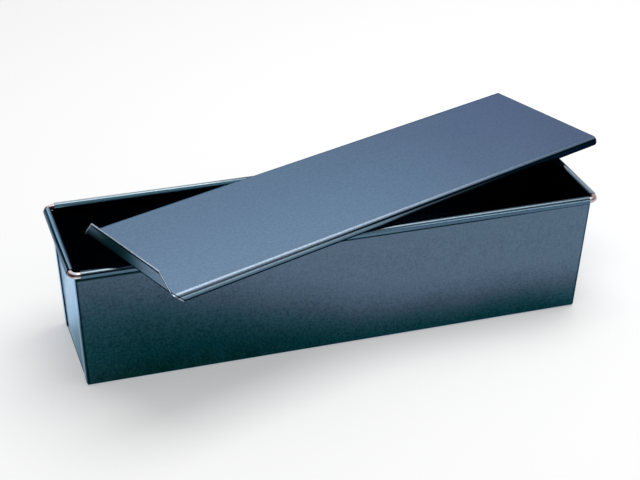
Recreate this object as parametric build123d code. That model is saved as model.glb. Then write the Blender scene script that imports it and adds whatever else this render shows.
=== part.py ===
from build123d import *
import os
from math import atan2, cos, degrees, radians, tan

# Pullman loaf pan with its lid, in millimetres.
# The origin is the middle of the pan's underside. X runs along the pan, Z is up.

# Sheet and wire
sheet = 0.75
wire_diameter = 4.8
wire_clearance = 0.05

# Inside of the pan at the rim, its depth, and how far each wall leans in on the way down to the floor
inside_length = 400
inside_width = 103
inside_depth = 100.6
end_splay = 4.8
side_splay = 4.9

# Rolled rim
bead_turn = 305
bead_setback = 6.2
wire_joint_gap = 0.6
wire_notch_gap = 0.2

# Folds and laps of the pan
corner_bend = 1.6
foot_bend = 1
foot_length = 10
lap_width = 10
lap_head_gap = 0.5
lap_slit = 1
seam_gap = 0.05

# Lid
channel_clearance = 0.3
channel_lip = 1.4
channel_slant = 9
lid_overhang = 0.4
pull_height = 13.8
pull_taper = 11.5
pull_lean = 9
pull_bend = 0.8

# Where the lid lies on the rim
lid_turn = 20.85
lid_shift = 27.9
lid_sideways = 5.8
rest_gap = 0.3

overrun = 20

# Sizes that follow from those above
bead_bore = wire_diameter / 2 + wire_clearance
bead_radius = bead_bore + sheet
wire_height = sheet + inside_depth - bead_radius
notch_height = wire_height - wire_diameter / 2 - wire_notch_gap
base_length = inside_length - 2 * end_splay
base_width = inside_width - 2 * side_splay
end_flare = atan2(end_splay, wire_height - sheet)
side_flare = atan2(side_splay, wire_height - sheet)
end_wall = sheet / cos(end_flare)
side_wall = sheet / cos(side_flare)
wire_half_length = inside_length / 2 + bead_radius / cos(end_flare)
wire_half_width = inside_width / 2 + bead_radius / cos(side_flare)
wire_corner = corner_bend + sheet + bead_bore
side_bead_half = wire_half_length - bead_setback
end_bead_half = wire_half_width - bead_setback
channel_bore = bead_radius + channel_clearance
channel_radius = channel_bore + sheet
lid_height = 2 * channel_radius
lid_half_length = wire_half_length + bead_radius + lid_overhang


def inside_face(base, flare, height):
    """Distance from the pan's middle to a sloping inner face, at a height above the table."""
    return base / 2 + (height - sheet) * tan(flare)


def flared_block(end_margin, side_margin, low, high):
    """A block with the pan's four slopes. The margins set its faces out from the pan's inner faces."""
    low_x = inside_face(base_length, end_flare, low) + end_margin
    low_y = inside_face(base_width, side_flare, low) + side_margin
    high_x = inside_face(base_length, end_flare, high) + end_margin
    high_y = inside_face(base_width, side_flare, high) + side_margin
    block = Wedge(
        2 * low_x,
        high - low,
        2 * low_y,
        low_x - high_x,
        low_y - high_y,
        low_x + high_x,
        low_y + high_y,
    )
    return Pos(0, 0, (low + high) / 2) * Rot(90, 0, 0) * block


def bent_block(end_margin, side_margin, low, high, radius):
    """A flared block rounded where one sheet bends: at the four corners and along the floor's long edges."""
    block = flared_block(end_margin, side_margin, low, high)
    corners = block.edges().filter_by(Axis.X, reverse=True).filter_by(Axis.Y, reverse=True)
    floor_edges = block.edges().filter_by(Axis.X).group_by(Axis.Z)[0]
    return fillet(corners + floor_edges, radius)


def folded_section(points, radius, side):
    """Section of a folded sheet. The points follow its outer face, and each bend has the inner radius."""
    outer_face = FilletPolyline(*points, radius=radius + sheet)
    return make_face(outer_face.offset_2d(sheet, side=side, closed=True))


def rolled_section(base, flare):
    """Section of a wall's top edge, rolled outward round the wire, with the wall rising from the notch."""
    inner_foot = inside_face(base, flare, notch_height)
    outer_foot = inner_foot + sheet / cos(flare)
    middle = (inside_face(base, flare, wire_height) + bead_radius / cos(flare), wire_height)
    start = 180 - degrees(flare)
    outer_arc = CenterArc(middle, bead_radius, start, -bead_turn)
    inner_arc = CenterArc(middle, bead_bore, start, -bead_turn)
    outline = [
        Line((inner_foot, notch_height), outer_arc @ 0),
        outer_arc,
        Line(outer_arc @ 1, inner_arc @ 1),
        inner_arc,
        Line(inner_arc @ 0, (outer_foot, notch_height)),
        Line((outer_foot, notch_height), (inner_foot, notch_height)),
    ]
    return make_face(outline)


def collar_section(base, flare):
    """Section of the short stretch of wall that stands beside the bare wire, past the end of a bead."""
    inner_foot = inside_face(base, flare, notch_height)
    inner_top = inside_face(base, flare, wire_height)
    wall = sheet / cos(flare)
    return Polygon(
        (inner_foot, notch_height),
        (inner_foot + wall, notch_height),
        (inner_top + wall, wire_height),
        (inner_top, wire_height),
        align=None,
    )


def make_wrapper():
    """Floor, long walls with their beads, and the laps folded round the corners, all from one sheet."""
    skin = bent_block(2 * end_wall, side_wall, 0, notch_height, corner_bend + sheet)
    skin -= bent_block(end_wall, 0, sheet, notch_height + overrun, corner_bend)

    # The ends are open between the laps, and the laps stop short of the end beads.
    skin -= flared_block(2 * end_wall + overrun, side_wall - lap_width, sheet, notch_height + overrun)
    lap_top = wire_height - bead_radius - lap_head_gap
    head_width = 2 * (end_bead_half + lap_head_gap)
    skin -= Pos(0, 0, lap_top) * Box(
        inside_length + overrun,
        head_width,
        overrun,
        align=(Align.CENTER, Align.CENTER, Align.MIN),
    )

    # The floor ends flush with the end plates, with a slit below each lap.
    floor_half = base_length / 2 + end_wall
    foot_cut = Pos(floor_half, 0, sheet + lap_slit) * Box(
        overrun,
        base_width + overrun,
        overrun,
        align=(Align.MIN, Align.CENTER, Align.MAX),
    )
    skin -= foot_cut
    skin -= mirror(foot_cut, about=Plane.YZ)

    bead = extrude(Plane.YZ * rolled_section(base_width, side_flare), side_bead_half, both=True)
    collar_half = wire_half_length - wire_corner
    collar = extrude(Plane.YZ * collar_section(base_width, side_flare), collar_half, both=True)
    rim = bead + collar
    return skin + rim + mirror(rim, about=Plane.XZ)


def make_right_end():
    """End plate with its foot folded in onto the floor and its top edge rolled round the wire."""
    outer_base = inside_face(base_length, end_flare, sheet) + end_wall
    outer_top = inside_face(base_length, end_flare, wire_height) + end_wall
    points = [
        (outer_base - end_wall - foot_length, sheet),
        (outer_base, sheet),
        (outer_top, wire_height),
    ]
    section = folded_section(points, foot_bend, Side.LEFT)
    plate = extrude(Plane.XZ * section, inside_width / 2, both=True)
    plate &= bent_block(end_wall, -seam_gap, sheet, notch_height, corner_bend)
    bead = extrude(Plane.XZ * rolled_section(base_length, end_flare), end_bead_half, both=True)
    collar_half = wire_half_width - wire_corner
    collar = extrude(Plane.XZ * collar_section(base_length, end_flare), collar_half, both=True)
    return plate + bead + collar


def make_rim_wire():
    """One wire bent round the rim. Its ends meet in the middle of the far bead."""
    corners = [
        (wire_joint_gap / 2, wire_half_width),
        (wire_half_length, wire_half_width),
        (wire_half_length, -wire_half_width),
        (-wire_half_length, -wire_half_width),
        (-wire_half_length, wire_half_width),
        (-wire_joint_gap / 2, wire_half_width),
    ]
    path = Pos(0, 0, wire_height) * FilletPolyline(*corners, radius=wire_corner)
    section = Plane(path @ 0, z_dir=path % 0) * Circle(wire_diameter / 2)
    return sweep(section, path=path)


def channel_section():
    """Half of the lid's section: the flat top, the channel round the bead, and the lip that hooks under it."""
    middle = (wire_half_width, channel_radius)
    outer_arc = CenterArc(middle, channel_radius, 90, -180)
    inner_arc = CenterArc(middle, channel_bore, 90, -180)
    lip_edge = wire_half_width - channel_lip
    outline = [
        Line((0, lid_height), outer_arc @ 0),
        outer_arc,
        Line(outer_arc @ 1, (lip_edge, 0)),
        Line((lip_edge, 0), (lip_edge, sheet)),
        Line((lip_edge, sheet), inner_arc @ 1),
        inner_arc,
        Line(inner_arc @ 0, (0, lid_height - sheet)),
        Line((0, lid_height - sheet), (0, lid_height)),
    ]
    return make_face(outline)


def make_pull():
    """The lip that is turned up from the lid's left end, with its slanting ends."""
    rise = pull_height + sheet
    underside = lid_height - sheet
    lean = rise * tan(radians(pull_lean))
    points = [
        (-lid_half_length + pull_height, underside),
        (-lid_half_length, underside),
        (-lid_half_length - lean, underside + rise),
    ]
    lip = extrude(Plane.XZ * folded_section(points, pull_bend, Side.RIGHT), wire_half_width, both=True)
    top_half = wire_half_width - pull_taper
    shape = Polygon(
        (-wire_half_width, underside),
        (wire_half_width, underside),
        (wire_half_width, lid_height),
        (top_half, lid_height + pull_height),
        (-top_half, lid_height + pull_height),
        (-wire_half_width, lid_height),
        align=None,
    )
    return lip & extrude(Plane.YZ * shape, lid_half_length + overrun, both=True)


def make_lid():
    """Lid: a flat top between two curled channels, with the pull at its left end."""
    half = channel_section()
    section = half + mirror(half, about=Plane.YZ)
    plate = extrude(Plane.YZ * section, lid_half_length, both=True)

    # The channels start with a slant, and the flat top gives way to the pull's bend.
    slant = Polygon(
        (-lid_half_length - overrun, lid_height - sheet),
        (-lid_half_length, lid_height - sheet),
        (-lid_half_length + channel_slant, 0),
        (-lid_half_length - overrun, 0),
        align=None,
    )
    plate -= extrude(Plane.XZ * slant, wire_half_width + overrun, both=True)
    plate -= Pos(-lid_half_length + pull_bend + sheet, 0, lid_height) * Box(
        overrun,
        2 * wire_half_width,
        2 * sheet,
        align=(Align.MAX, Align.CENTER, Align.CENTER),
    )
    lid = plate + make_pull()
    rest_height = wire_height + bead_radius + rest_gap
    return Pos(lid_shift, lid_sideways, rest_height) * Rot(0, 0, lid_turn) * lid


right_end = make_right_end()
pieces = {
    "pan_wrapper": make_wrapper(),
    "right_end": right_end,
    "left_end": mirror(right_end, about=Plane.YZ),
    "rim_wire": make_rim_wire(),
    "lid": make_lid(),
}

os.makedirs("parts", exist_ok=True)
for name, piece in pieces.items():
    export_step(piece, f"parts/{name}.step")
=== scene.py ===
from math import atan2, cos, hypot, pi, radians, sin, tan

import bmesh
import bpy
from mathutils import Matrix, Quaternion, Vector


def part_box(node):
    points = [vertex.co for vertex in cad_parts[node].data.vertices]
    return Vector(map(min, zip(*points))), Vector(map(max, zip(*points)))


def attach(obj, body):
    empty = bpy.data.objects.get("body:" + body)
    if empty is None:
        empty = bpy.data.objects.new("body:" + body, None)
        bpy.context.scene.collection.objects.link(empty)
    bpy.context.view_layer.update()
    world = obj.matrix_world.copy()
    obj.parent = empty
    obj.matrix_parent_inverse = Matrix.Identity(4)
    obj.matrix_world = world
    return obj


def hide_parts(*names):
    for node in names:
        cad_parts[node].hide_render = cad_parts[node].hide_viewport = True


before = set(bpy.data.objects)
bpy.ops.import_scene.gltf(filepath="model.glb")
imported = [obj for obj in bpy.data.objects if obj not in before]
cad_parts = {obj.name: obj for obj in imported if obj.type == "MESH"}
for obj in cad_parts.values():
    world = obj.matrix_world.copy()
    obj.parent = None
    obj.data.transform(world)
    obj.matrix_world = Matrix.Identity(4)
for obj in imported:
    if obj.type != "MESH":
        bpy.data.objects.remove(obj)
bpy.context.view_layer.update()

# Pullman loaf pan and its lid, dressed in blued steel. Metres throughout.
mm = 0.001
print("frame loaded:", ", ".join(sorted(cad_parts)))


# Sizes that the pieces share

steel = {
    "thickness": 0.75 * mm,
    "edgeRound": 0.14 * mm,
    "edgeSteps": 2,
}

rimWire = {
    "radius": 2.4 * mm,
    "clearance": 0.05 * mm,
    "cornerRadius": 4.8 * mm,
    "jointGap": 0.6 * mm,
    "sides": 28,
    "cornerSteps": 12,
}

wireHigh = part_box("rim_wire")[1]
rimX = wireHigh.x - rimWire["radius"]
rimY = wireHigh.y - rimWire["radius"]
rimZ = wireHigh.z - rimWire["radius"]
beadRadius = rimWire["radius"] + rimWire["clearance"] + steel["thickness"]

# Slots of the materials that a sheet has after its main one
cutSlot = 1
rolledSlot = 2
endSlot = 3


# Working in edit mode

working = {
    "near": 0.02 * mm,          # places this close are the same place
    "cutReach": 0.0001 * mm,    # corners this close to a cut lie on it
    "joinReach": 0.005 * mm,    # corners this close to each other are joined
    "beadReach": 0.05 * mm,     # faces this far outside a bead still belong to it
    "alongAxis": 0.99,          # least share of an edge's length along its axis
    "facing": 0.9,              # least part of a normal along the axis that a face looks along
    "leaning": 0.6,             # the same where the face may lean or lie in a bend
    "upright": 0.5,             # largest part along Z of an upright face's normal
    "sharp": radians(50),       # edges sharper than this are rounded off
    "smooth": radians(35),      # and those blunter than this are shaded smooth
    "flatWeight": 80,
}


def deselect():
    bpy.ops.object.select_all(action="DESELECT")


def startEdit(name):  # the primitive that was just added becomes this piece
    obj = bpy.context.active_object
    obj.name = name
    obj.data.name = name
    bpy.ops.object.transform_apply(location=True, rotation=True, scale=True)
    bpy.ops.object.mode_set(mode="EDIT")
    return obj


def pick(obj, kind, test):  # selects each vertex, edge or face whose middle passes the test
    bpy.ops.mesh.select_mode(type=kind)
    bpy.ops.mesh.select_all(action="DESELECT")
    mesh = bmesh.from_edit_mesh(obj.data)
    for item in {"VERT": mesh.verts, "EDGE": mesh.edges, "FACE": mesh.faces}[kind]:
        if kind == "VERT":
            middle = item.co
        elif kind == "EDGE":
            middle = (item.verts[0].co + item.verts[1].co) / 2
        else:
            middle = item.calc_center_median()
        item.select_set(bool(test(middle, item)))
    mesh.select_flush_mode()
    bmesh.update_edit_mesh(obj.data)


def near(a, b):
    return abs(a - b) < working["near"]


def along(edge, axis):  # true for an edge that runs along that axis
    run = edge.verts[1].co - edge.verts[0].co
    return abs(run[axis]) > working["alongAxis"] * run.length


def spin(centre, axis, turn, steps):
    bpy.ops.mesh.spin(steps=steps, angle=-turn, center=centre, axis=axis)


def extrude(move):
    bpy.ops.mesh.extrude_region_move(TRANSFORM_OT_translate={"value": move})


def cut(point, normal, clear=False):  # through what is selected; clear drops the side of the normal
    bpy.ops.mesh.bisect(plane_co=point, plane_no=normal, clear_outer=clear, threshold=working["cutReach"])


def joinCorners():
    bpy.ops.mesh.select_all(action="SELECT")
    bpy.ops.mesh.remove_doubles(threshold=working["joinReach"])


def faceOutward():
    bpy.ops.mesh.select_all(action="SELECT")
    bpy.ops.mesh.normals_make_consistent(inside=False)


# Gives the sheet its thickness, towards the outside if grow is 1 and the inside if -1, and
# rounds its cut edges. The outward function tells which way is out.
def closeSheet(obj, grow, outward):
    joinCorners()
    faceOutward()
    mesh = bmesh.from_edit_mesh(obj.data)
    facing = max(mesh.faces, key=lambda face: face.calc_area())
    if facing.normal.dot(outward(facing.calc_center_median())) < 0:
        bpy.ops.mesh.flip_normals()
    bpy.ops.object.mode_set(mode="OBJECT")
    wall = obj.modifiers.new("sheet", "SOLIDIFY")
    wall.thickness = steel["thickness"]
    wall.offset = grow
    wall.use_even_offset = True
    wall.use_quality_normals = True
    wall.material_offset_rim = cutSlot
    bpy.ops.object.modifier_apply(modifier=wall.name)
    rounding = obj.modifiers.new("edges", "BEVEL")
    rounding.width = steel["edgeRound"]
    rounding.segments = steel["edgeSteps"]
    rounding.limit_method = "ANGLE"
    rounding.angle_limit = working["sharp"]
    rounding.material = cutSlot
    bpy.ops.object.modifier_apply(modifier=rounding.name)
    bpy.ops.object.shade_smooth_by_angle(angle=working["smooth"])
    flats = obj.modifiers.new("flats", "WEIGHTED_NORMAL")  # flat faces stay flat up to their rounded edges
    flats.keep_sharp = True
    flats.weight = working["flatWeight"]
    bpy.ops.object.modifier_apply(modifier=flats.name)


# Another finish where the test says so, on the faces of the sheet or on its cut edges
def finishFaces(obj, slot, test, cutEdges=False):
    for face in obj.data.polygons:
        if (face.material_index == cutSlot) == cutEdges and test(face.center, face.normal):
            face.material_index = slot


def onBead(p, normal):
    aside = min(hypot(abs(p.y) - rimY, p.z - rimZ), hypot(abs(p.x) - rimX, p.z - rimZ))
    return aside < beadRadius + working["beadReach"]


# Pan: one sheet for the floor and long walls, one plate at each end

panSizes = {
    "baseLength": 390.4 * mm,   # inside, on the floor
    "baseWidth": 93.2 * mm,
    "rimLength": 400 * mm,      # inside, at the height of the wire
    "rimWidth": 103 * mm,
    "beadTurn": radians(305),
    "beadSteps": 40,
    "beadSetback": 6.2 * mm,
    "notchGap": 0.2 * mm,
    "shoulderRise": 1.2 * mm,   # the sheet still rises a little where the corner starts to bend
    "shoulderReach": 1.9 * mm,
    "cornerBend": 1.6 * mm,
    "cornerSteps": 6,
    "lapWidth": 10 * mm,
    "lapHeadGap": 0.5 * mm,
    "lapSlit": 1 * mm,
    "lapFacing": 0.75,          # share of the normal along the pan from which a face is a lap's
    "footBend": 1 * mm,
    "footLength": 10 * mm,
    "seamGap": 0.05 * mm,
    "cuts": 25,                 # cross lines that let the long walls bow
    "levels": (0.12, 0.3, 0.5, 0.7, 0.88),    # and level ones, as shares of the height
    "wallBow": 0.16 * mm,
}

# Waves of a bowed sheet: their height, how fast they run each way, and where they start
bowWaves = ((1, 5.1, 2, 0), (0.6, 11, -3.7, 1))

floorTop = steel["thickness"]
endFlare = atan2((panSizes["rimLength"] - panSizes["baseLength"]) / 2, rimZ - floorTop)
sideFlare = atan2((panSizes["rimWidth"] - panSizes["baseWidth"]) / 2, rimZ - floorTop)
endWall = steel["thickness"] / cos(endFlare)
sideWall = steel["thickness"] / cos(sideFlare)
notchZ = rimZ - rimWire["radius"] - panSizes["notchGap"]


def innerX(z):  # the end plates' inner faces
    return panSizes["baseLength"] / 2 + (z - floorTop) * tan(endFlare)


def innerY(z):  # the long walls' inner faces
    return panSizes["baseWidth"] / 2 + (z - floorTop) * tan(sideFlare)


def bow(obj, low, high, amount, normalAxis):  # a sheet is never quite flat: it bows between its stiff borders
    mesh = bmesh.from_edit_mesh(obj.data)
    for vertex in mesh.verts:
        if not vertex.select:
            continue
        u, v = [(vertex.co[i] - low[i]) / (high[i] - low[i]) for i in range(3) if i != normalAxis]
        hold = sin(pi * min(max(u, 0), 1)) * sin(pi * min(max(v, 0), 1))
        wave = sum(height * sin(across * u + up * v + start) for height, across, up, start in bowWaves)
        vertex.co[normalAxis] += amount * hold * wave
    bmesh.update_edit_mesh(obj.data)


def makeWrapper():
    s = panSizes
    height = notchZ - floorTop
    startX = innerX(floorTop) + endWall
    topX = innerX(notchZ) + endWall
    deselect()
    bpy.ops.mesh.primitive_cube_add(size=1, location=(0, 0, floorTop + height / 2))
    bpy.ops.transform.resize(value=(2 * startX, 2 * innerY(floorTop), height))
    obj = startEdit("pan_sheet")
    pick(obj, "VERT", lambda p, v: near(p.z, notchZ))
    bpy.ops.transform.resize(value=(topX / startX, innerY(notchZ) / innerY(floorTop), 1))
    pick(obj, "FACE", lambda p, f: near(p.z, notchZ))
    bpy.ops.mesh.delete(type="ONLY_FACE")

    # Bends at the four corners and along the floor
    def isBend(p, edge):
        upright = not along(edge, 0) and not along(edge, 1)
        return upright or (along(edge, 0) and near(p.z, floorTop))

    pick(obj, "EDGE", isBend)
    bpy.ops.mesh.bevel(offset=s["cornerBend"], segments=s["cornerSteps"], affect="EDGES")

    # The ends open between the laps
    def isEnd(p, face):
        return abs(face.normal.x) > working["facing"]

    lapEdge = innerY(floorTop) + sideWall - s["lapWidth"]
    for side in (1, -1):
        pick(obj, "FACE", isEnd)
        cut((0, side * lapEdge, floorTop), (0, side * cos(sideFlare), -sin(sideFlare)))
    pick(obj, "FACE", lambda p, f: isEnd(p, f) and abs(p.y) < lapEdge / 2)
    bpy.ops.mesh.delete(type="FACE")

    # A slit below each lap, and a step above it for the end bead
    slitZ = floorTop + s["lapSlit"]
    lapTop = rimZ - beadRadius - s["lapHeadGap"]
    headY = rimY - s["beadSetback"] + s["lapHeadGap"]
    bendX = startX - s["cornerBend"] / 2

    def isLap(p, face):
        return abs(p.x) > bendX and abs(face.normal.z) < working["upright"]

    pick(obj, "FACE", isLap)
    cut((0, 0, slitZ), (0, 0, 1))
    pick(obj, "FACE", lambda p, f: isLap(p, f) and p.z < slitZ)
    bpy.ops.mesh.delete(type="FACE")
    pick(obj, "FACE", isEnd)
    cut((0, 0, lapTop), (0, 0, 1))
    for side in (1, -1):
        pick(obj, "FACE", lambda p, f: isEnd(p, f) and p.z > lapTop)
        cut((0, side * headY, 0), (0, 1, 0))
    pick(obj, "FACE", lambda p, f: isEnd(p, f) and p.z > lapTop and abs(p.y) < headY)
    bpy.ops.mesh.delete(type="FACE")

    # Cross lines where the collars beside the bare wire stop, and on between the ends of the beads
    beadX = rimX - s["beadSetback"]
    collarX = rimX - rimWire["cornerRadius"]
    crossLines = [-beadX + 2 * beadX * i / (s["cuts"] - 1) for i in range(s["cuts"])]
    for x in [-collarX, collarX] + crossLines:
        bpy.ops.mesh.select_all(action="SELECT")
        cut((x, 0, 0), (1, 0, 0))
    for level in s["levels"]:
        pick(obj, "FACE", lambda p, f: abs(f.normal.y) > working["facing"])
        cut((0, 0, floorTop + level * height), (0, 0, 1))
    for side in (1, -1):
        pick(obj, "VERT", lambda p, v: near(p.y, side * innerY(p.z)))
        low = Vector((-beadX, 0, floorTop + s["cornerBend"]))
        bow(obj, low, Vector((beadX, 0, notchZ)), s["wallBow"], 1)

    # Beads: the top edge rises to the wire and is rolled outward round it
    tangentY = rimY - beadRadius * cos(sideFlare)
    tangentZ = rimZ + beadRadius * sin(sideFlare)
    shoulderX = collarX + s["shoulderReach"]
    shoulderZ = notchZ + s["shoulderRise"]

    def isBorder(p, side, z, reach):
        return near(p.z, z) and abs(p.x) < reach and p.y * side > 0

    for side in (1, -1):
        pick(obj, "EDGE", lambda p, e: isBorder(p, side, notchZ, shoulderX))
        extrude((0, side * (innerY(shoulderZ) - innerY(notchZ)), shoulderZ - notchZ))
        pick(obj, "EDGE", lambda p, e: isBorder(p, side, shoulderZ, collarX))
        extrude((0, side * (innerY(rimZ) - innerY(shoulderZ)), rimZ - shoulderZ))
        pick(obj, "EDGE", lambda p, e: isBorder(p, side, rimZ, beadX) and along(e, 0))
        extrude((0, side * (tangentY - innerY(rimZ)), tangentZ - rimZ))
        spin((0, side * rimY, rimZ), (1, 0, 0), -side * s["beadTurn"], s["beadSteps"])
    closeSheet(obj, 1, lambda p: Vector((0, p.y, p.z - rimZ)))

    # The laps look like the end plates that they lie on
    def isLapFace(p, normal):
        return normal.x * p.x > s["lapFacing"] * abs(p.x) and p.z < notchZ

    def isLapEdge(p, normal):
        return abs(p.x) > bendX and abs(normal.y) > working["leaning"] and slitZ < p.z < lapTop

    finishFaces(obj, rolledSlot, onBead)
    finishFaces(obj, endSlot, isLapFace)
    finishFaces(obj, endSlot, isLapEdge, cutEdges=True)
    return obj


def makeEnd(side, name):
    s = panSizes
    footZ = floorTop + steel["thickness"]
    bendX = innerX(footZ) - s["footBend"]
    halfBase = innerY(floorTop) - s["seamGap"]
    toeX = innerX(floorTop) - s["footLength"]
    deselect()
    bpy.ops.mesh.primitive_plane_add(size=1, location=((toeX + bendX) / 2, 0, footZ))
    bpy.ops.transform.resize(value=(bendX - toeX, 2 * (halfBase - s["cornerBend"]), 1))
    obj = startEdit(name)

    # Foot, bend and plate
    bendZ = footZ + s["footBend"]
    pick(obj, "EDGE", lambda p, e: near(p.x, bendX))
    spin((bendX, 0, bendZ), (0, 1, 0), -(pi / 2 - endFlare), s["cornerSteps"])
    topX = bendX + s["footBend"] * cos(endFlare)
    topZ = bendZ - s["footBend"] * sin(endFlare)
    pick(obj, "EDGE", lambda p, e: near(p.x, topX) and near(p.z, topZ) and along(e, 1))
    extrude((innerX(notchZ) - topX, 0, notchZ - topZ))
    bpy.ops.transform.resize(value=(1, (innerY(notchZ) - s["seamGap"]) / (halfBase - s["cornerBend"]), 1))
    beadY = rimY - s["beadSetback"]
    collarY = rimY - rimWire["cornerRadius"]
    for y in (-collarY, -beadY, beadY, collarY):
        pick(obj, "FACE", lambda p, f: abs(f.normal.x) > working["facing"])
        cut((0, y, 0), (0, 1, 0))

    # Bead, rolled outward round the wire
    tangentX = rimX - beadRadius * cos(endFlare)
    tangentZ = rimZ + beadRadius * sin(endFlare)
    pick(obj, "EDGE", lambda p, e: near(p.z, notchZ) and abs(p.y) < collarY)
    extrude((innerX(rimZ) - innerX(notchZ), 0, rimZ - notchZ))
    pick(obj, "EDGE", lambda p, e: near(p.z, rimZ) and abs(p.y) < beadY and along(e, 1))
    extrude((tangentX - innerX(rimZ), 0, tangentZ - rimZ))
    spin((rimX, 0, rimZ), (0, 1, 0), s["beadTurn"], s["beadSteps"])
    closeSheet(obj, 1, lambda p: Vector((1, 0, 0)))
    finishFaces(obj, rolledSlot, onBead)
    finishFaces(obj, endSlot, lambda p, normal: normal.x > working["leaning"] and p.z < notchZ)
    if side < 0:
        obj.scale.x = -1
        bpy.ops.object.transform_apply(location=False, rotation=False, scale=True)
        bpy.ops.object.mode_set(mode="EDIT")
        faceOutward()
        bpy.ops.object.mode_set(mode="OBJECT")
    return obj


def makeRimWire():
    w = rimWire
    cornerX = rimX - w["cornerRadius"]
    cornerY = rimY - w["cornerRadius"]
    start = w["jointGap"] / 2
    deselect()
    bpy.ops.mesh.primitive_circle_add(
        vertices=w["sides"], radius=w["radius"], location=(start, rimY, rimZ), rotation=(0, pi / 2, 0))
    obj = startEdit("bent_wire")
    bpy.ops.mesh.select_all(action="SELECT")
    extrude((cornerX - start, 0, 0))
    runs = [(cornerX, cornerY, (0, -2 * cornerY, 0)), (cornerX, -cornerY, (-2 * cornerX, 0, 0)),
            (-cornerX, -cornerY, (0, 2 * cornerY, 0)), (-cornerX, cornerY, (cornerX - start, 0, 0))]
    for x, y, run in runs:
        spin((x, y, rimZ), (0, 0, 1), -pi / 2, w["cornerSteps"])
        extrude(run)
    joinCorners()
    bpy.ops.mesh.fill_holes(sides=0)
    faceOutward()
    bpy.ops.object.mode_set(mode="OBJECT")
    bpy.ops.object.shade_smooth_by_angle(angle=working["smooth"])
    return obj


# Lid: made straight, then turned to where it lies on the rim

lidSizes = {
    "channelClearance": 0.3 * mm,
    "channelLip": 1.4 * mm,
    "channelSlant": 9 * mm,
    "channelSteps": 24,
    "overhang": 0.4 * mm,
    "pullHeight": 13.8 * mm,
    "pullTaper": 11.5 * mm,
    "pullEar": 2.2 * mm,        # how far the foot of its far end reaches over the channel
    "pullLean": radians(9),
    "pullBend": 0.8 * mm,
    "pullSteps": 6,
    "pullStart": 0.01 * mm,     # faces this far over the lid's top are the pull's
    "cuts": 27,
    "topBow": 0.22 * mm,
    "turn": radians(20.85),
    "shiftX": 27.9 * mm,
    "shiftY": 5.8 * mm,
}

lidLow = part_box("lid")[0]
channelRadius = beadRadius + lidSizes["channelClearance"] + steel["thickness"]
lidTop = 2 * channelRadius
lidHalf = rimX + beadRadius + lidSizes["overhang"]


def makeLid():
    s = lidSizes
    foldX = -lidHalf + s["pullBend"] + steel["thickness"]
    halfway = lidTop / 2
    deselect()
    bpy.ops.mesh.primitive_plane_add(size=1, location=(0, 0, lidTop))
    bpy.ops.transform.resize(value=(2 * lidHalf, 2 * rimY, 1))
    obj = startEdit("lid_sheet")
    bpy.ops.mesh.select_all(action="SELECT")
    bpy.ops.mesh.subdivide(number_cuts=s["cuts"])
    bpy.ops.mesh.select_all(action="SELECT")
    cut((foldX, 0, 0), (1, 0, 0))
    pick(obj, "VERT", lambda p, v: p.x > foldX)
    bow(obj, Vector((foldX, -rimY, 0)), Vector((lidHalf, rimY, 0)), s["topBow"], 2)

    # Channels: the long edges are curled under, with a short flat lip
    for side in (1, -1):
        pick(obj, "EDGE", lambda p, e: near(p.y, side * rimY) and along(e, 0))
        spin((0, side * rimY, lidTop - channelRadius), (1, 0, 0), -side * pi, s["channelSteps"])
        extrude((0, -side * s["channelLip"], 0))
    slantNormal = Vector((-(lidTop - steel["thickness"]), 0, -s["channelSlant"]))
    pick(obj, "FACE", lambda p, f: abs(p.y) > rimY or p.z < halfway)
    cut((-lidHalf, 0, lidTop - steel["thickness"]), slantNormal, clear=True)

    # Pull: the left end is turned up, and its ends slope
    def isEndOfTop(p):
        return abs(p.y) < rimY and p.z > halfway

    pick(obj, "FACE", lambda p, f: p.x < foldX and isEndOfTop(p))
    bpy.ops.mesh.delete(type="FACE")
    pick(obj, "EDGE", lambda p, e: near(p.x, foldX) and along(e, 1) and isEndOfTop(p))
    spin((foldX, 0, lidTop + s["pullBend"]), (0, 1, 0), pi / 2 - s["pullLean"], s["pullSteps"])
    rise = s["pullHeight"] - s["pullBend"] * (1 - sin(s["pullLean"]))
    extrude((-rise * tan(s["pullLean"]), 0, rise))
    pick(obj, "EDGE", lambda p, e: near(p.y, rimY) and p.z > lidTop + s["pullBend"] and p.x < foldX)
    extrude((0, s["pullEar"], 0))
    for side, reach in ((1, s["pullEar"]), (-1, 0)):
        pick(obj, "FACE", lambda p, f: p.z > lidTop + s["pullStart"] and p.x < foldX)
        slope = (0, side * s["pullHeight"], s["pullTaper"] + reach)
        cut((0, side * (rimY + reach), lidTop), slope, clear=True)
    closeSheet(obj, -1, lambda p: Vector((0, 0, 1)))

    def isChannel(p, normal):
        return abs(p.y) > rimY or p.z < halfway

    def isPull(p, normal):
        return p.x < foldX and (p.z > lidTop or isEndOfTop(p))

    def isChannelEdge(p, normal):
        return abs(p.y) > rimY - steel["thickness"] and p.z < lidTop

    finishFaces(obj, rolledSlot, isChannel)
    finishFaces(obj, endSlot, isPull)
    finishFaces(obj, rolledSlot, isChannelEdge, cutEdges=True)

    obj.rotation_euler.z = s["turn"]
    obj.location = (s["shiftX"], s["shiftY"], lidLow.z)
    bpy.ops.object.transform_apply(location=True, rotation=True, scale=True)
    return obj


pan = makeWrapper()
rightEnd = makeEnd(1, "right_end_plate")
leftEnd = makeEnd(-1, "left_end_plate")
wire = makeRimWire()
lid = makeLid()
print("sheets folded:", [len(o.data.polygons) for o in (pan, rightEnd, leftEnd, wire, lid)], "faces")


# Materials

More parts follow.
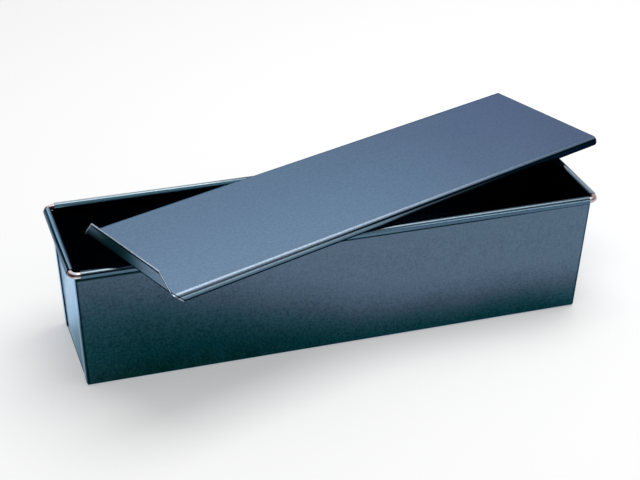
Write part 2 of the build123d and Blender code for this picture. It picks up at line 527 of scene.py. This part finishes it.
class Socket:  # one output socket, on which maths can be written as an expression
    def __init__(self, tree, socket=None):  # without a socket, it only adds nodes to its tree
        self.tree = tree
        self.socket = socket

    def add(self, kind, settings=None, values=None, out=0):
        node = self.tree.nodes.new("ShaderNode" + kind)
        for name, value in (settings or {}).items():
            setattr(node, name, value)
        for name, value in (values or {}).items():
            if isinstance(value, Socket):
                self.tree.links.new(value.socket, node.inputs[name])
            else:
                node.inputs[name].default_value = value
        return Socket(self.tree, node.outputs[out])

    def __add__(self, other):
        return maths("ADD", self, other)

    def __radd__(self, other):
        return maths("ADD", other, self)

    def __sub__(self, other):
        return maths("SUBTRACT", self, other)

    def __rsub__(self, other):
        return maths("SUBTRACT", other, self)

    def __mul__(self, other):
        return maths("MULTIPLY", self, other)

    def __rmul__(self, other):
        return maths("MULTIPLY", other, self)

    def __truediv__(self, other):
        return maths("DIVIDE", self, other)

    def __rtruediv__(self, other):
        return maths("DIVIDE", other, self)

    def clamp(self):
        return self.add("Clamp", {}, {"Value": self})

    def between(self, low, high):  # 0 at low, 1 at high, with a smooth turn at each
        return self.add("MapRange", {"interpolation_type": "SMOOTHSTEP"},
                        {"Value": self, "From Min": low, "From Max": high})

    def band(self, rise, fall):  # 1 from the end of the rise to the start of the fall
        return self.between(*rise) * (1 - self.between(*fall))

    def mix(self, first, second):  # this socket is the share of the second colour
        return self.add("Mix", {"data_type": "RGBA"}, {0: self, 6: first, 7: second}, 2)


def maths(operation, *terms):
    owner = next(term for term in terms if isinstance(term, Socket))
    return owner.add("Math", {"operation": operation}, dict(enumerate(terms)))


def startMaterial(name):
    material = bpy.data.materials.new(name)
    material.use_nodes = True
    material.node_tree.nodes.clear()
    return material, Socket(material.node_tree)


def finishShader(shader, kind):
    output = shader.tree.nodes.new(kind)
    shader.tree.links.new(shader.socket, output.inputs["Surface"])


sheetMarks = {
    "cloudScale": 14,
    "cloudRoughness": 0.5,
    "mottleScale": 120,
    "lineScale": 900,                     # lines along the sheet
    "lineStretch": (6, 1, 1),
    "streakScale": 560,                   # streaks up the walls
    "streakStretch": (1, 1, 5),
    "detail": 3,
    "roughness": 0.6,
}


def noise(where, scale, roughness):  # as much below 0 as above it
    fac = where.add("TexNoise", {}, {
        "Vector": where, "Scale": scale, "Detail": sheetMarks["detail"], "Roughness": roughness}, "Fac")
    return fac - 0.5


# Where on the sheet, and the patterns that rolling and handling left on it
def sheetGrain(maker, finish):
    marks = sheetMarks
    texture = {"vector_type": "TEXTURE"}
    coordinates = maker.add("TexCoord", {}, {}, "Object")
    where = maker.add("Mapping", texture, {
        "Vector": coordinates, "Location": finish["centre"], "Rotation": (0, 0, finish["turn"])})
    drawn = maker.add("Mapping", texture, {"Vector": where, "Scale": marks["lineStretch"]})
    upright = maker.add("Mapping", texture, {"Vector": where, "Scale": marks["streakStretch"]})
    grain = {axis.lower(): where.add("SeparateXYZ", {}, {"Vector": where}, axis) for axis in "XYZ"}
    grain["cloud"] = noise(where, marks["cloudScale"], marks["cloudRoughness"])
    grain["mottle"] = noise(where, marks["mottleScale"], marks["roughness"])
    grain["fine"] = noise(where, finish["grit"], marks["roughness"])
    grain["lines"] = noise(drawn, marks["lineScale"], marks["roughness"])
    grain["streaks"] = noise(upright, marks["streakScale"], marks["roughness"])
    return grain


blueing = {
    "fine": 1.1,                          # how much each pattern adds to the dark grain
    "lines": 0.4,
    "mottle": 0.15,
    "base": 0.1,                          # and how much of it is everywhere
    "specks": 0.075,                      # light specks where the patterns are weakest
    "speck": (0.22, 0.27, 0.3, 1),
    "lineRoughness": 0.06,
    "mottleRoughness": 0.08,
    "bump": 0.08,
    "bumpDepth": 0.04 * mm,
}


# makeColour gives the tint and how strong the grain is
def bluedSteel(name, finish, makeColour):
    b = blueing
    material, m = startMaterial(name)
    g = sheetGrain(m, finish)
    tint, strength = makeColour(finish, g)
    grime = g["fine"] * b["fine"] + g["lines"] * b["lines"] + g["mottle"] * b["mottle"]
    grime = (grime + g["streaks"] * finish["streaks"]) * strength
    colour = (grime + b["base"]).clamp().mix(tint, finish["dark"])
    colour = (grime * -b["specks"]).clamp().mix(colour, b["speck"])
    rough = finish["roughness"] + g["lines"] * b["lineRoughness"] + g["mottle"] * b["mottleRoughness"]
    bump = m.add("Bump", {}, {
        "Strength": b["bump"], "Distance": b["bumpDepth"], "Height": g["lines"] + g["fine"]})
    finishShader(m.add("BsdfPrincipled", {}, {
        "Base Color": colour, "Metallic": 1.0, "Roughness": rough.clamp(), "Specular Tint": finish["grazing"],
        "Normal": bump}, "BSDF"), "ShaderNodeOutputMaterial")
    return material


# Each finish has a function that takes it and the grain, as f and g, and gives the colour.
# A pair of values is where a change starts and ends. Two pairs are a band: its rise and its fall.

onPan = {
    "turn": 0,
    "centre": (0, 0, 0),
    "grit": 560,                          # scale of the fine grain
    "streaks": 0.5,
}

onLid = {
    "turn": lidSizes["turn"],
    "centre": (lidSizes["shiftX"], lidSizes["shiftY"], lidLow.z),
    "grit": 460,
    "streaks": 0.2,
}

wallFinish = {
    **onPan,
    "slate": (0.09, 0.138, 0.202, 1),
    "dusk": (0.049, 0.0835, 0.1235, 1),
    "petrol": (0.02, 0.0635, 0.088, 1),
    "teal": (0.0014, 0.044, 0.054, 1),    # darker teal towards the floor: partly oxide, partly painted shade
    "green": (0.001, 0.025, 0.022, 1),    # and the darkest, painted shade at the foot of the left half
    "dark": (0, 0.012, 0.016, 1),
    "grazing": (0.4, 0.6, 0.8, 1),
    "roughness": 0.2,
    "tealTop": 26 * mm,                   # height of the change, at the right
    "tealClimb": 64 * mm,                 # and how much higher it is at the left
    "climb": (-240 * mm, 60 * mm),
    "blend": 27 * mm,                     # half the height that the change takes
    "blendClimb": 42 * mm,
    "clouds": 18 * mm,                    # how far the patterns shift it
    "runs": 16 * mm,
    "corner": (-198 * mm, -140 * mm),     # more even and lighter towards the left corner
    "cornerCalm": 0.08,
    "cornerLift": 0.06,
    "skin": (-0.1 * mm, 0.1 * mm),        # from the outside to the inside, about the sheet's middle
    "steps": (("petrol", 0, 0.25), ("dusk", 0.25, 0.5), ("slate", 0.5, 1)),    # up the change
    "fold": (-1.4 * mm, -0.2 * mm),       # painted shade line at the upright bends
    "foldLean": 0.005,
    "hollow": (-7.4 * mm, -5.8 * mm),     # the shade under the bead, wider at the left
    "hollowLeft": (0.3, 0.7),
    # painted shade line just below the bead, fading out to the right
    "crease": (-6.1 * mm, -5.4 * mm),
    "creaseEnd": (100 * mm, 180 * mm),
    "foot": (2 * mm, 26 * mm),            # painted shade at the foot, green
    "footLeft": (0.15, 0.5),
    "footBase": 0.7,
    "grain": 0.55,                        # how strong the grain is
    "tealGrain": 1.5,                     # the teal shows more of it
}


def wallColour(f, g):
    x, z = g["x"], g["z"]
    left = 1 - x.between(*f["climb"])
    # Painted shade: the colour darkens to teal and green towards the floor, more at the left; partly oxide
    height = z + g["cloud"] * f["clouds"] + g["streaks"] * f["runs"]
    blend = f["blend"] + left * f["blendClimb"]
    share = ((height - f["tealTop"] - left * f["tealClimb"]) / (blend * 2) + 0.5).between(0, 1)
    corner = 1 - x.between(*f["corner"])
    share = share * (1 - corner * f["cornerCalm"]) + corner * f["cornerLift"]
    middle = (z - floorTop) * tan(sideFlare) + (panSizes["baseWidth"] + steel["thickness"]) / 2
    inside = (middle - maths("ABSOLUTE", g["y"])).between(*f["skin"])
    share = maths("MAXIMUM", share, inside)
    fold = maths("ABSOLUTE", x) - z * (tan(endFlare) + f["foldLean"]) - panSizes["baseLength"] / 2
    hollow = (z - rimZ).between(*f["hollow"]) * left.between(*f["hollowLeft"])
    crease = (z - rimZ).between(*f["crease"]) * (1 - x.between(*f["creaseEnd"]))
    foot = (1 - z.between(*f["foot"])) * left.between(*f["footLeft"])
    foot = foot * (g["mottle"] + g["cloud"] + f["footBase"])
    tint = foot.clamp().mix(f["teal"], f["green"])
    for colour, start, full in f["steps"]:
        tint = ((share - start) / (full - start)).clamp().mix(tint, f[colour])
    # painted shade lines at the bends and under the bead
    tint = (fold.between(*f["fold"]) + maths("MAXIMUM", hollow, crease)).clamp().mix(tint, f["dark"])
    return tint, (1 - share) * f["tealGrain"] + f["grain"]


endFinish = {
    **onPan,
    "high": (0.38, 0.54, 0.82, 1),
    "slate": (0.27, 0.38, 0.58, 1),
    "low": (0.045, 0.08, 0.12, 1),
    "dark": (0.03, 0.06, 0.09, 1),
    "grazing": (0.61, 0.86, 1, 1),
    "roughness": 0.2,
    "slope": 0.7,                         # the changes run askew across the plate
    "clouds": 8 * mm,
    "toHigh": (50 * mm, 80 * mm),
    "fromLow": (15 * mm, 38 * mm),
    "grain": 0.6,
}


def endColour(f, g):
    # Painted light and shade: lighter high up and towards the far side, darker low and towards the front
    height = g["z"] + g["y"] * f["slope"] + g["cloud"] * f["clouds"]
    upper = height.between(*f["toHigh"]).mix(f["slate"], f["high"])
    return height.between(*f["fromLow"]).mix(f["low"], upper), f["grain"]


beadFinish = {
    **onPan,
    "slate": (0.085, 0.155, 0.22, 1),
    "slateRight": (0.066, 0.12, 0.18, 1),
    "top": (0.15, 0.185, 0.215, 1),       # painted highlight along the top
    "topRight": (0.1, 0.135, 0.165, 1),
    "shine": (0.27, 0.44, 0.6, 1),
    "farEdge": (0.42, 0.5, 0.55, 1),
    "farTop": (0.03, 0.06, 0.08, 1),
    "farSide": (0.13, 0.3, 0.4, 1),
    "farFoot": (0.5, 0.85, 1, 1),
    "leftTop": (0.28, 0.41, 0.56, 1),
    "leftSide": (0.16, 0.21, 0.28, 1),
    "rightSide": (0.17, 0.23, 0.31, 1),
    "rightEdge": (0.46, 0.51, 0.6, 1),
    "under": (0.002, 0.012, 0.02, 1),
    "dark": (0.01, 0.03, 0.045, 1),
    "grazing": (0.45, 0.52, 0.58, 1),
    "roughness": 0.15,
    "grain": 0.5,
    "middle": (0, 1 * mm),                # from the near bead to the far one

    # Near bead: heights from the wire's middle, and where along the pan each thing starts or ends
    # painted highlight band along the top
    "highlightBand": (1.7 * mm, 2.6 * mm),
    "highlightFade": (-100 * mm, 100 * mm),
    "line": ((0.4 * mm, 1.2 * mm), (1.8 * mm, 2.3 * mm)),    # a painted shade line at the left
    "lineEnd": (-90 * mm, 30 * mm),
    "foot": (-2 * mm, -1.1 * mm),         # painted shade along the foot
    "footEnd": (60 * mm, 180 * mm),
    "footFade": 0.6,
    "crown": (-1.3 * mm, -0.5 * mm),      # and painted shade from the crown inwards, across the bead
    "crownEnd": (-60 * mm, 20 * mm),
    "crownShade": 0.6,
    "shade": 0.96,
    "right": (20 * mm, 70 * mm),
    "gap": ((1.95 * mm, 2.15 * mm), (2.45 * mm, 2.65 * mm)),    # a thinner painted shade line at the right
    "gapShade": 0.5,
    "glint": ((1.25 * mm, 1.45 * mm), (1.95 * mm, 2.15 * mm)),    # and a painted highlight below it
    "glintFall": (90 * mm, 200 * mm),
    "glintDrop": 0.45 * mm,

    # Far bead: a painted highlight along the top edge, painted dark and light bands below it
    "farRise": (1.9 * mm, 2.2 * mm),
    "farLow": (0.5 * mm, 1.3 * mm),
    "farRim": (2.65 * mm, 3.05 * mm),
    "farRimEnd": (-90 * mm, -45 * mm),
    "farRimFade": 0.7,

    # End beads: distances out from the wire's middle
    "ends": (-5 * mm, -4 * mm),
    "leftSkew": 0.012,
    "leftBand": ((0.7 * mm, 1 * mm), (2.3 * mm, 2.7 * mm)),
    "leftInner": (-0.4 * mm, 2.4 * mm),
    "leftFall": (1.6 * mm, 2.2 * mm),
    "rightRise": (-2 * mm, 0.5 * mm),
    "rightInner": (-2.4 * mm, -1.4 * mm),
}


def beadColour(f, g):
    x, y = g["x"], g["y"]
    up = g["z"] - rimZ
    right = x.between(*f["right"])
    line = up.band(*f["line"]) * (1 - x.between(*f["lineEnd"]))
    foot = (1 - up.between(*f["foot"])) * (1 - x.between(*f["footEnd"]) * f["footFade"])
    crown = (y + rimY).between(*f["crown"]) * (1 - x.between(*f["crownEnd"])) * f["crownShade"]
    # painted highlight along the top, weaker at the right
    paintedHighlight = x.between(*f["highlightFade"]).mix(f["top"], f["topRight"])
    near = up.between(*f["highlightBand"]).mix(right.mix(f["slate"], f["slateRight"]), paintedHighlight)
    near = ((line + foot + crown) * f["shade"]).clamp().mix(near, f["under"])
    near = (up.band(*f["gap"]) * right * f["gapShade"]).mix(near, f["under"])
    height = up + x.between(*f["glintFall"]) * f["glintDrop"]
    near = (height.band(*f["glint"]) * right).mix(near, f["shine"])
    far = up.between(*f["farRise"]).mix(f["farSide"], f["farTop"])
    far = up.between(*f["farLow"]).mix(f["farFoot"], far)
    edge = up.between(*f["farRim"]) * (1 - x.between(*f["farRimEnd"]) * f["farRimFade"])
    tint = y.between(*f["middle"]).mix(near, edge.mix(far, f["farEdge"]))

    # The end beads: painted shade on the inner side and in a dark band, painted light in the lighter bands
    out = x - rimX
    end = out.between(*f["rightRise"]).mix(f["rightSide"], f["rightEdge"])
    end = out.between(*f["rightInner"]).mix(f["under"], end)
    tint = out.between(*f["ends"]).mix(tint, end)
    skewed = 0 - x - rimX - maths("MINIMUM", y, 0) * f["leftSkew"]
    end = skewed.between(*f["leftFall"]).mix(f["leftTop"], f["leftSide"])
    shade = skewed.band(*f["leftBand"]) + (x + rimX).between(*f["leftInner"])
    end = shade.clamp().mix(end, f["under"])
    return (0 - x - rimX).between(*f["ends"]).mix(tint, end), f["grain"]


lidFinish = {
    **onLid,
    "left": (0.194, 0.262, 0.372, 1),
    "near": (0.228, 0.33, 0.466, 1),
    "right": (0.177, 0.2, 0.31, 1),       # darker and more violet at the right: partly oxide, partly painted shade
    "dark": (0.03, 0.06, 0.09, 1),
    "grazing": (0.4, 0.6, 0.8, 1),
    "roughness": 0.22,
    "clouds": 90 * mm,
    "toRight": (-60 * mm, 240 * mm),
    "toNear": (-60 * mm, 70 * mm),
    "grain": 0.55,
}


def lidColour(f, g):
    # Painted light: lighter towards the left and the near side
    right = (g["x"] + g["cloud"] * f["clouds"]).between(*f["toRight"])
    near = (0 - g["y"]).between(*f["toNear"])
    return right.mix(near.mix(f["left"], f["near"]), f["right"]), f["grain"]


lipFinish = {
    **onLid,
    "slate": (0.27, 0.37, 0.5, 1),
    "teal": (0.01, 0.1, 0.11, 1),
    # painted highlight colour along the pull's edges
    "paintedHighlight": (0.85, 0.92, 1, 1),
    "under": (0.002, 0.012, 0.02, 1),
    "dark": (0.01, 0.03, 0.045, 1),
    "grazing": (0.15, 0.3, 0.4, 1),
    "roughness": 0.4,
    "outer": (0.2 * mm, 0.5 * mm),        # depth from the outer face
    "line": ((-3 * mm, -2.4 * mm), (-1.4 * mm, -1 * mm)),    # painted shade line below the top edge
    # painted highlight along the top edge and the slanted edges
    "highlightTop": (-1.1 * mm, -0.8 * mm),
    "highlightSide": (0.8 * mm, 1.1 * mm),   # in from the slanted edges
    # painted shade line in from the near slanted end
    "groove": ((0.9 * mm, 1.2 * mm), (1.9 * mm, 2.3 * mm)),
    "foldDepth": (0.7 * mm, 0.85 * mm),   # painted shade line along the fold, in from the lid's end
    "foldTop": (0.9 * mm, 1.4 * mm),
    "creaseTop": (0.8 * mm, 2 * mm),      # the shade in the corner behind it
    "creaseShade": 0.6,
    "tealFrom": (-30 * mm, 4 * mm),       # teal across the lid: partly oxide, partly painted shade
    "tealShare": 0.92,
    "farEnd": (22 * mm, 44 * mm),         # less teal at the far top
    "farHigh": (1 * mm, 9 * mm),
    "farFade": 0.6,
    "grain": 0.8,
}


def lipColour(f, g):
    out, height = g["x"] + lidHalf, g["z"] - lidTop
    depth = out + (height + steel["thickness"]) * tan(lidSizes["pullLean"])
    outer = 1 - depth.between(*f["outer"])
    brim = height - lidSizes["pullHeight"]
    fold = (1 - out.between(*f["foldDepth"])) * (1 - height.between(*f["foldTop"]))
    crease = (1 - outer) * (1 - height.between(*f["creaseTop"])) * f["creaseShade"]
    far = g["y"].between(*f["farEnd"]) * height.between(*f["farHigh"]) * f["farFade"]
    teal = outer * g["y"].between(*f["tealFrom"]) * (1 - far)
    tint = (teal * f["tealShare"]).mix(f["slate"], f["teal"])
    rise = height / lidSizes["pullHeight"]
    fromNear = g["y"] + rimY - rise * lidSizes["pullTaper"]
    fromFar = rimY - g["y"] - rise * lidSizes["pullTaper"] + (1 - rise) * lidSizes["pullEar"]
    lines = (brim.band(*f["line"]) + fromNear.band(*f["groove"])) * outer
    # Painted shade: the dark lines, the fold and the corner behind it
    tint = (lines + fold + crease).clamp().mix(tint, f["under"])
    # Painted highlight along the top edge and in from the slanted edges
    side = 1 - maths("MINIMUM", fromNear, fromFar).between(*f["highlightSide"])
    paintedHighlight = maths("MAXIMUM", brim.between(*f["highlightTop"]), side)
    return (paintedHighlight * outer).mix(tint, f["paintedHighlight"]), f["grain"]


curlFinish = {
    **onLid,
    "top": (0.215, 0.28, 0.36, 1),
    "topRight": (0.125, 0.177, 0.26, 1),
    "side": (0.14, 0.215, 0.29, 1),
    "shine": (0.32, 0.48, 0.6, 1),
    "low": (0.055, 0.09, 0.125, 1),
    "start": (0.12, 0.16, 0.2, 1),
    "rim": (0.34, 0.44, 0.54, 1),
    "under": (0.001, 0.01, 0.018, 1),
    "dark": (0.01, 0.03, 0.045, 1),
    "grazing": (0.1, 0.25, 0.38, 1),
    "roughness": 0.36,
    "clouds": 40 * mm,
    "toRight": (-40 * mm, 130 * mm),
    "fromLow": (2.6 * mm, 5 * mm),        # heights from the lid's lowest point
    "topFade": (-60 * mm, 200 * mm),
    "shadeFrom": (-120 * mm, 20 * mm),    # where the glint ends and the belt broadens
    "glint": ((4.9 * mm, 5.3 * mm), (5.8 * mm, 6.1 * mm)),
    "beltLow": (6.1 * mm, 6.4 * mm),
    "beltHigh": (6.75 * mm, 7 * mm),
    "beltDrop": 0.5 * mm,                 # the painted shade belt is broader at the right
    "beltRise": 0.3 * mm,
    "beltFrom": (-170 * mm, -10 * mm),
    "beltShare": 0.3,
    "foot": (2.4 * mm, 3.2 * mm),
    "toTop": (6.4 * mm, 7.2 * mm),
    "cutEdge": (0.06 * mm, 0.16 * mm),    # in from the slanted start
    "rimEdge": (0.6 * mm, 0.9 * mm),
    "groove": ((0.9 * mm, 1.2 * mm), (1.7 * mm, 2 * mm)),
    "grooveShade": 0.8,
    "farSide": (0, 20 * mm),
    "startEnd": (12 * mm, 20 * mm),
    "grain": 0.5,
}


def curlColour(f, g):
    # Painted light and shade: a highlight along the top fading to the right, a painted reflection glint,
    # darker sides, a dark belt and a dark foot below
    x, z = g["x"], g["z"]
    right = (x + g["cloud"] * f["clouds"]).between(*f["toRight"])
    side = right.mix(z.between(*f["fromLow"]).mix(f["low"], f["side"]), f["under"])
    top = x.between(*f["topFade"]).mix(f["top"], f["topRight"])
    shade = x.between(*f["shadeFrom"])
    side = (z.band(*f["glint"]) * (1 - shade)).mix(side, f["shine"])
    belt = (z + shade * f["beltDrop"]).between(*f["beltLow"])
    belt = belt * (1 - (z - shade * f["beltRise"]).between(*f["beltHigh"]))
    belt = belt * (x.between(*f["beltFrom"]) * (1 - f["beltShare"]) + f["beltShare"])
    dark = (belt + 1 - z.between(*f["foot"])).clamp()
    tint = dark.mix(z.between(*f["toTop"]).mix(side, top), f["under"])

    # The slanted start: painted shade on the cut edge, a painted highlight on the rim and a painted shade
    # groove
    drop = lidTop - steel["thickness"]
    slant = lidSizes["channelSlant"]
    start = x + lidHalf
    inwards = start * (drop / hypot(drop, slant)) - (drop - z) * (slant / hypot(drop, slant))
    tint = (inwards.band(*f["groove"]) * f["grooveShade"]).mix(tint, f["under"])
    tint = inwards.between(*f["rimEdge"]).mix(f["rim"], tint)
    tint = inwards.between(*f["cutEdge"]).mix(f["under"], tint)
    # painted shade over the start of the far channel
    far = g["y"].between(*f["farSide"]) * (1 - start.between(*f["startEnd"]))
    return far.mix(tint, f["start"]), f["grain"]


bareMarks = {
    "fineRoughness": 0.16,
    "mottleRoughness": 0.12,
    "bump": 0.15,
    "bumpDepth": 0.04 * mm,
}

# Cut edges: bright on the lid, bare steel with a painted highlight; stained on the pan
lidCutFinish = {
    **onPan,
    "bright": (0.58, 0.72, 0.86, 1),
    "stained": (0.32, 0.42, 0.54, 1),
    "roughness": 0.35,
    "stains": (-0.05, 0.25),
}

panCutFinish = {
    **onPan,
    "bright": (0.06, 0.09, 0.12, 1),
    "stained": (0.02, 0.035, 0.05, 1),
    "roughness": 0.4,
    "stains": (-0.05, 0.25),
}

wireFinish = {
    **onPan,
    "bright": (0.72, 0.66, 0.68, 1),
    "stained": (0.42, 0.33, 0.34, 1),
    "brown": (0.075, 0.045, 0.048, 1),
    "roughness": 0.2,
    "stains": (-0.1, 0.25),
    "rightStainAndShade": 0.7,
    "middle": (0, 1 * mm),
    "patches": 0.5 * mm,
    "line": ((-0.5 * mm, 0.3 * mm), (1.3 * mm, 2 * mm)),
    "lineShare": 0.85,
    "outer": (0.9 * mm, 1.9 * mm),        # out from the wire's middle at the right
    "outerShare": 0.8,
    "left": (-3 * mm, 1 * mm),            # and at the left
    "leftBand": ((-2.2 * mm, -1 * mm), (1.6 * mm, 2.2 * mm)),
    "leftShare": 0.6,
    "far": (-1 * mm, 0.5 * mm),
    "inner": (3.2 * mm, 3.9 * mm),        # from the middle of each corner's bend
}


def bareSteel(name, finish, makeColour):
    b = bareMarks
    material, m = startMaterial(name)
    g = sheetGrain(m, finish)
    rough = finish["roughness"] + g["fine"] * b["fineRoughness"] + g["mottle"] * b["mottleRoughness"]
    bump = m.add("Bump", {}, {"Strength": b["bump"], "Distance": b["bumpDepth"], "Height": g["fine"]})
    finishShader(m.add("BsdfPrincipled", {}, {
        "Base Color": makeColour(finish, g), "Metallic": 1.0, "Roughness": rough.clamp(),
        "Normal": bump}, "BSDF"), "ShaderNodeOutputMaterial")
    return material


def edgeColour(f, g):
    return g["mottle"].between(*f["stains"]).mix(f["bright"], f["stained"])


def wireColour(f, g):  # dark brown along the wire, partly oxide and partly painted shade, more of it at the left corners and on the inner side
    x, y = g["x"], g["y"]
    z = g["z"] - rimZ + g["mottle"] * f["patches"]
    right = x.between(*f["middle"])
    line = z.band(*f["line"]) * (1 - right) * f["lineShare"]
    outer = (x - rimX).between(*f["outer"]) * f["outerShare"]
    left = (0 - x - rimX).between(*f["left"]) * z.band(*f["leftBand"]) * f["leftShare"]
    far = (0 - x - rimX).between(*f["far"]) * y.between(*f["middle"])
    aside = maths("ABSOLUTE", x) - (rimX - rimWire["cornerRadius"])
    across = maths("ABSOLUTE", y) - (rimY - rimWire["cornerRadius"])
    inner = 1 - (aside * aside + across * across).between(*[reach ** 2 for reach in f["inner"]])
    # duller at the right: partly stain, partly painted shade that tones down the highlight
    share = (g["mottle"].between(*f["stains"]) + right * f["rightStainAndShade"]).clamp()
    metal = share.mix(f["bright"], f["stained"])
    return (line + outer + left + far + inner).clamp().mix(metal, f["brown"])


wallSteel = bluedSteel("blued_wall_steel", wallFinish, wallColour)
endSteel = bluedSteel("blued_end_steel", endFinish, endColour)
beadSteel = bluedSteel("blued_bead_steel", beadFinish, beadColour)
lidSteel = bluedSteel("blued_lid_steel", lidFinish, lidColour)
curlSteel = bluedSteel("blued_curl_steel", curlFinish, curlColour)
lipSteel = bluedSteel("blued_lip_steel", lipFinish, lipColour)
lidCutEdge = bareSteel("lid_cut_edge", lidCutFinish, edgeColour)
panCutEdge = bareSteel("pan_cut_edge", panCutFinish, edgeColour)
wireSteel = bareSteel("drawn_wire_steel", wireFinish, wireColour)


def dress(obj, *materials):  # the faces keep the slots that they have
    slots = [face.material_index for face in obj.data.polygons]
    obj.data.materials.clear()
    for material in materials:
        obj.data.materials.append(material)
    for face, slot in zip(obj.data.polygons, slots):
        face.material_index = min(slot, len(materials) - 1)


for obj in (pan, rightEnd, leftEnd):
    dress(obj, wallSteel, panCutEdge, beadSteel, endSteel)
dress(lid, lidSteel, lidCutEdge, curlSteel, lipSteel)
dress(wire, wireSteel)
for node, material in (("pan_wrapper", wallSteel), ("left_end", endSteel), ("right_end", endSteel),
                       ("rim_wire", wireSteel), ("lid", lidSteel)):
    dress(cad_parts[node], material)
print("materials made")

rides = [
    (pan, "pan", "pan_wrapper", "pan_steel"),
    (rightEnd, "pan", "right_end", "pan_steel"),
    (leftEnd, "pan", "left_end", "pan_steel"),
    (wire, "pan", "rim_wire", "wire_steel"),
    (lid, "lid", "lid", "lid_steel"),
]
for piece, body, node, slot in rides:
    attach(piece, body)
    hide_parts(node)


# Studio

studio = {
    "floorSize": 12,
    "floorWhite": 0.8,
    "floorLift": 0.3,
    "floorMirrored": 0.4,                 # the same as metal sees it
    "skyForFloor": 0.6,                   # strength of the room's light
    "skyBackLeft": 1.15,                  # strength of the room as metal sees it
    "skyBackRight": 0.85,
    "skyHorizon": 0.6,
    "skyFront": 0.2,
    "skyCeiling": 0.6,
    "window": 1.5,
    "toRight": (0.08, 0.5),               # from here to the ceiling, parts of the direction
    "toBack": (0, 0.4),
    "overHorizon": (0.1, 0.35),
    "litFrom": (-0.3, 0.2),
    "litLow": (0.1, 0.24),
    "windowAcross": ((0.22, 0.3), (0.5, 0.6)),
    "windowHeight": ((0.26, 0.32), (0.46, 0.54)),
    "windowFront": (-0.5, -0.2),
    "ceiling": (0.5, 0.7),
    "boxPlace": (0.35, 0.14, 1.4),
    "boxTurn": radians(28),
    "boxSize": (1.3, 0.8),
    "boxPower": 10.5,
}


def makeFloor():
    deselect()
    bpy.ops.mesh.primitive_plane_add(size=studio["floorSize"], location=(0, 0, 0))
    obj = bpy.context.active_object
    obj.name = "studio_floor"
    material, m = startMaterial("studio_white")
    white = studio["floorWhite"]
    paper = m.add("BsdfDiffuse", {}, {"Color": (white, white, white, 1)}, "BSDF")
    camera, mirrored, clear = [m.add("LightPath", {}, {}, "Is %s Ray" % kind)
                               for kind in ("Camera", "Glossy", "Transmission")]
    lift = (camera + clear).clamp() * studio["floorLift"] + mirrored * studio["floorMirrored"]
    glow = m.add("Emission", {}, {"Strength": lift}, "Emission")
    finishShader(m.add("AddShader", {}, {0: paper, 1: glow}), "ShaderNodeOutputMaterial")
    dress(obj, material)


def makeSky():
    s = studio
    world = bpy.data.worlds.new("studio")
    bpy.context.scene.world = world
    world.use_nodes = True
    world.node_tree.nodes.clear()
    m = Socket(world.node_tree)
    direction = m.add("TexCoord", {}, {}, "Generated")
    x, y, z = [m.add("SeparateXYZ", {}, {"Vector": direction}, axis) for axis in "XYZ"]
    behind = s["skyBackLeft"] + x.between(*s["toRight"]) * (s["skyBackRight"] - s["skyBackLeft"])
    behind = behind + y.between(*s["toBack"]) * (1 - z.between(*s["overHorizon"])) * s["skyHorizon"]
    lit = maths("MAXIMUM", y.between(*s["litFrom"]), 1 - z.between(*s["litLow"]))
    window = x.band(*s["windowAcross"]) * (1 - y.between(*s["windowFront"]))
    window = window * z.band(*s["windowHeight"]) * s["window"]
    front = s["skyFront"] + z.between(*s["ceiling"]) * s["skyCeiling"]
    mirrored = front + lit * (behind - front) + window
    camera = m.add("LightPath", {}, {}, "Is Camera Ray")
    metal = m.add("LightPath", {}, {}, "Is Glossy Ray")
    strength = camera + (1 - camera) * (metal * mirrored + (1 - metal) * s["skyForFloor"])
    finishShader(m.add("Background", {}, {"Strength": strength}, "Background"), "ShaderNodeOutputWorld")


def makeSoftbox(name, place, turn, size, power):
    lamp = bpy.data.lights.new(name, "AREA")
    lamp.shape = "RECTANGLE"
    lamp.size = size[0]
    lamp.size_y = size[1]
    lamp.energy = power
    obj = bpy.data.objects.new(name, lamp)
    obj.location = place
    obj.rotation_euler.z = turn
    obj.visible_camera = False
    bpy.context.scene.collection.objects.link(obj)


makeFloor()
makeSky()
makeSoftbox("overhead_softbox", studio["boxPlace"], studio["boxTurn"], studio["boxSize"], studio["boxPower"])


# Camera, where the photograph was taken from

shot = {
    "place": (-0.34235, -1.04747, 0.66755),
    "aim": (0.00142, 0.01109, 0.06045),
    "roll": radians(0.422),
    "lens": 91.249,
    "sensor": 36,
    "clipStart": 0.05,
    "clipEnd": 50,
}

cameraData = bpy.data.cameras.new("camera")
cameraData.lens = shot["lens"]
cameraData.sensor_width = shot["sensor"]
cameraData.clip_start = shot["clipStart"]
cameraData.clip_end = shot["clipEnd"]
camera = bpy.data.objects.new("camera", cameraData)
camera.location = shot["place"]
aim = Vector(shot["aim"]) - Vector(shot["place"])
camera.rotation_mode = "QUATERNION"
camera.rotation_quaternion = aim.to_track_quat("-Z", "Y") @ Quaternion((0, 0, 1), shot["roll"])
bpy.context.scene.collection.objects.link(camera)
bpy.context.scene.camera = camera
bpy.context.scene.view_settings.view_transform = "Standard"

print("studio lit, camera set")
